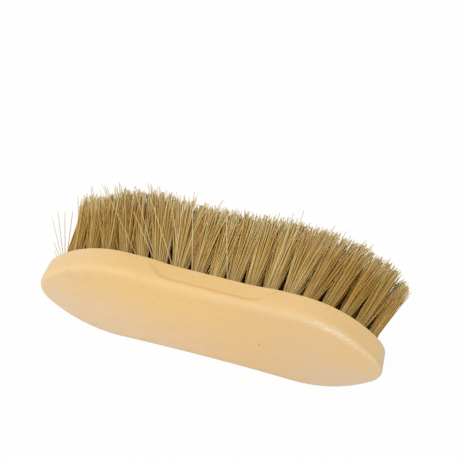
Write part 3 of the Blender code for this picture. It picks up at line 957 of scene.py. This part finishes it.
# The golden of the fibres inside a tuft is a painted warmth of the light in its shade.
FIBRE_GOLD_IN_SHADE = (0.670, 0.370, 0.070)
FIBRE_OLIVE = (0.570, 0.430, 0.180)
FIBRE_AGED = (0.800, 0.690, 0.480)
FIBRE_GREYED = (0.660, 0.440, 0.135)
FIBRE_TONES = ((0.10, FIBRE_BROWN), (0.34, FIBRE_KHAKI), (0.80, FIBRE_STRAW), (0.95, FIBRE_PALE))
FINE_STREAKS = ((1.0, 0.06, 1.0), 2600.0)

# Ranges of the masks, as for the wood
MIDDLE_FIELD = (LENGTH * 0.31, LENGTH * 0.43, 1.0, 0.15)
# Painted warmth of shade inside the tufts.
GOLDEN_PAINTED_SHADE_INSIDE = (0.18, 0.60, 0.0, 0.75)
STREAK_RANGE = (0.35, 0.75, 0.0, 0.35)
AGED_RIGHT = (LENGTH * 0.12, LENGTH * 0.40)
AGED_LEFT = (-LENGTH * 0.18, -LENGTH * 0.36, 0.0, 0.85)
GREYED_ENDS = (LENGTH * 0.40, LENGTH * 0.46, 0.0, 0.60)
OLIVE_FOOT = (0.45, 0.12, 0.0, 0.50)
# Painted shade at the fibres' roots.
ROOT_PAINTED_SHADE = (0.14, 0.02, 0.0, 0.55)
# Painted shade low inside the tufts, in the middle of the field.
LOW_PAINTED_SHADE = (0.60, 0.20)
INSIDE_PAINTED_SHADE = (0.25, 0.65, 0.0, 0.85)
PALE_UPWARDS = (0.70, 1.0, 0.0, 0.60)
PALE_OUTSIDE = (0.15, 0.60, 1.0, 0.45)
CUT_END = (0.92, 1.0, 0.0, 0.50)
FIBRE_ROUGHNESS = (0.3, 0.7, 0.55, 0.75)
FIBRE_BUMP = (0.3, 0.0001)
FIBRE_SPECULAR = 0.2


def stiff_bristle():
    """Each fibre has its own tone from dark brown to pale straw, and fine streaks along it.

    The fibres inside a tuft are golden: a painted warmth of the light in the tuft's shade. Those
    at both ends of the field have aged, and the outermost have greyed. Near the block a fibre is
    olive, and painted shade darkens it at its root and low inside its tuft. It pales towards its
    cut tip.
    """
    material, tree, shader = new_material("stiff_bristle")
    place = add_node(tree, "ShaderNodeTexCoord").outputs["Object"]
    x = add_node(tree, "ShaderNodeSeparateXYZ", links={0: place}).outputs["X"]
    from_middle = add_node(tree, "ShaderNodeMath", links={0: x}, operation="ABSOLUTE").outputs[0]
    tone, along, depth = painted(tree, "tone", "along", "depth")
    fine = place_streaks(tree, place, *FINE_STREAKS)
    ramp = add_node(tree, "ShaderNodeValToRGB", links={0: tone})
    stops = ramp.color_ramp.elements
    stops.remove(stops[-1])
    stops[0].color = (*FIBRE_DARK, 1.0)
    for share, shade in FIBRE_TONES:
        stops.new(share).color = (*shade, 1.0)
    in_field = mapped(tree, from_middle, *MIDDLE_FIELD)
    # Painted shade low inside the tufts.
    painted_inner_shade = times(tree, mapped(tree, along, *LOW_PAINTED_SHADE), mapped(tree, depth, *INSIDE_PAINTED_SHADE))
    paled = times(tree, mapped(tree, along, *PALE_UPWARDS), mapped(tree, depth, *PALE_OUTSIDE))
    colour = layered(
        tree,
        ramp.outputs[0],
        # Painted warmth of shade inside the tufts, in the middle of the field.
        (times(tree, mapped(tree, depth, *GOLDEN_PAINTED_SHADE_INSIDE), in_field), FIBRE_GOLD_IN_SHADE),
        (mapped(tree, fine, *STREAK_RANGE), FIBRE_BROWN),
        (mapped(tree, x, *AGED_RIGHT), FIBRE_AGED, "MULTIPLY"),
        (mapped(tree, x, *AGED_LEFT), FIBRE_AGED, "MULTIPLY"),
        (mapped(tree, from_middle, *GREYED_ENDS), FIBRE_GREYED),
        (mapped(tree, along, *OLIVE_FOOT), FIBRE_OLIVE),
        # Painted shade at the root.
        (mapped(tree, along, *ROOT_PAINTED_SHADE), FIBRE_DARK),
        # Painted shade low inside the tufts.
        (times(tree, painted_inner_shade, in_field), FIBRE_DARK),
        (paled, FIBRE_PALE),
        (mapped(tree, along, *CUT_END), FIBRE_PALE),
    )
    tree.links.new(colour, shader.inputs["Base Color"])
    tree.links.new(mapped(tree, fine, *FIBRE_ROUGHNESS), shader.inputs["Roughness"])
    tree.links.new(bumped(tree, fine, *FIBRE_BUMP), shader.inputs["Normal"])
    shader.inputs["Specular IOR Level"].default_value = FIBRE_SPECULAR
    return material


bristle = stiff_bristle()
for number, node in enumerate(tuft_nodes):
    outer = node.startswith("outer")
    fibres = tuft_fibres(
        number,
        node,
        FIBRES_OUTER if outer else FIBRES_INNER,
        TIP_SPREAD_OUTER if outer else TIP_SPREAD_INNER,
        1.0 if outer else INNER_OUTSIDE,
    )
    together = [np.concatenate(pair) for pair in zip(fibres, stray_fibres(node))]
    piece_name = f"bristles_of_{node}"
    mesh = fibre_mesh(piece_name, fibre_paths(*together[:4]), *together[4:])
    make_piece(piece_name, mesh, bristle, node)


# The floor and the light
# A plain pale floor under a white sky that is a little brighter on the left. To the camera both
# are almost white, so that only the brush's own shadow shows on the floor. One wide soft lamp
# stands low in front of the block's back.

FLOOR_SIZE = 6.0
FLOOR_COLOUR = (0.86, 0.86, 0.86, 1.0)
FLOOR_ROUGHNESS = 0.9
FLOOR_GLOW = 0.97
SKY_LIGHT = 0.893
SKY_SLANT = 0.32
LAMP_AZIMUTH = -10.0
LAMP_ELEVATION = 27.0
LAMP_DISTANCE = 1.4
LAMP_SIZE = (1.6, 0.8)
LAMP_POWER = 3.3


def pale_floor():
    """A matt floor that glows for the camera alone, by most of what it lacks of white."""
    bpy.ops.mesh.primitive_plane_add(size=FLOOR_SIZE)
    floor = bpy.context.object
    floor.name = "floor"
    material, tree, matt = new_material("pale_floor")
    matt.inputs["Base Color"].default_value = FLOOR_COLOUR
    matt.inputs["Roughness"].default_value = FLOOR_ROUGHNESS
    matt.inputs["Specular IOR Level"].default_value = 0.0
    glow = add_node(tree, "ShaderNodeEmission", values={"Strength": 1.0})
    rays = add_node(tree, "ShaderNodeLightPath")
    seen = add_node(
        tree,
        "ShaderNodeMath",
        values={1: FLOOR_GLOW},
        links={0: rays.outputs["Is Camera Ray"]},
        operation="MULTIPLY",
    )
    mixed = add_node(
        tree,
        "ShaderNodeMixShader",
        links={0: seen.outputs[0], 1: matt.outputs[0], 2: glow.outputs[0]},
    )
    tree.links.new(mixed.outputs[0], tree.nodes["Material Output"].inputs["Surface"])
    floor.data.materials.append(material)


def white_sky():
    """White to the camera and in reflections, and a softer grey as light.

    As light it is the sky's level times one less the slant times the direction's X.
    """
    world = bpy.data.worlds.new("white_sky")
    world.use_nodes = True
    tree = world.node_tree
    rays = add_node(tree, "ShaderNodeLightPath")
    seen = add_node(
        tree,
        "ShaderNodeMath",
        links={0: rays.outputs["Is Camera Ray"], 1: rays.outputs["Is Glossy Ray"]},
        operation="MAXIMUM",
    )
    towards = add_node(tree, "ShaderNodeTexCoord").outputs["Generated"]
    split = add_node(tree, "ShaderNodeSeparateXYZ", links={0: towards})
    slanted = add_node(
        tree,
        "ShaderNodeMath",
        values={1: -SKY_SLANT * SKY_LIGHT, 2: SKY_LIGHT},
        links={0: split.outputs["X"]},
        operation="MULTIPLY_ADD",
    )
    strength = add_node(
        tree,
        "ShaderNodeMapRange",
        values={"To Max": 1.0},
        links={"Value": seen.outputs[0], "To Min": slanted.outputs[0]},
    )
    background = tree.nodes["Background"]
    background.inputs["Color"].default_value = (1.0, 1.0, 1.0, 1.0)
    tree.links.new(strength.outputs[0], background.inputs["Strength"])
    bpy.context.scene.world = world


def soft_lamp():
    """A wide lamp that looks at the middle of the block's face."""
    away = direction(LAMP_AZIMUTH, LAMP_ELEVATION)
    light = bpy.data.lights.new("key_lamp", "AREA")
    light.shape = "RECTANGLE"
    light.size, light.size_y = LAMP_SIZE
    light.energy = LAMP_POWER
    lamp = bpy.data.objects.new("key_lamp", light)
    lamp.location = Vector((0.0, FACE_Y, MIDDLE_Z)) + away * LAMP_DISTANCE
    lamp.rotation_euler = away.to_track_quat("Z", "Y").to_euler()
    bpy.context.scene.collection.objects.link(lamp)


pale_floor()
white_sky()
soft_lamp()
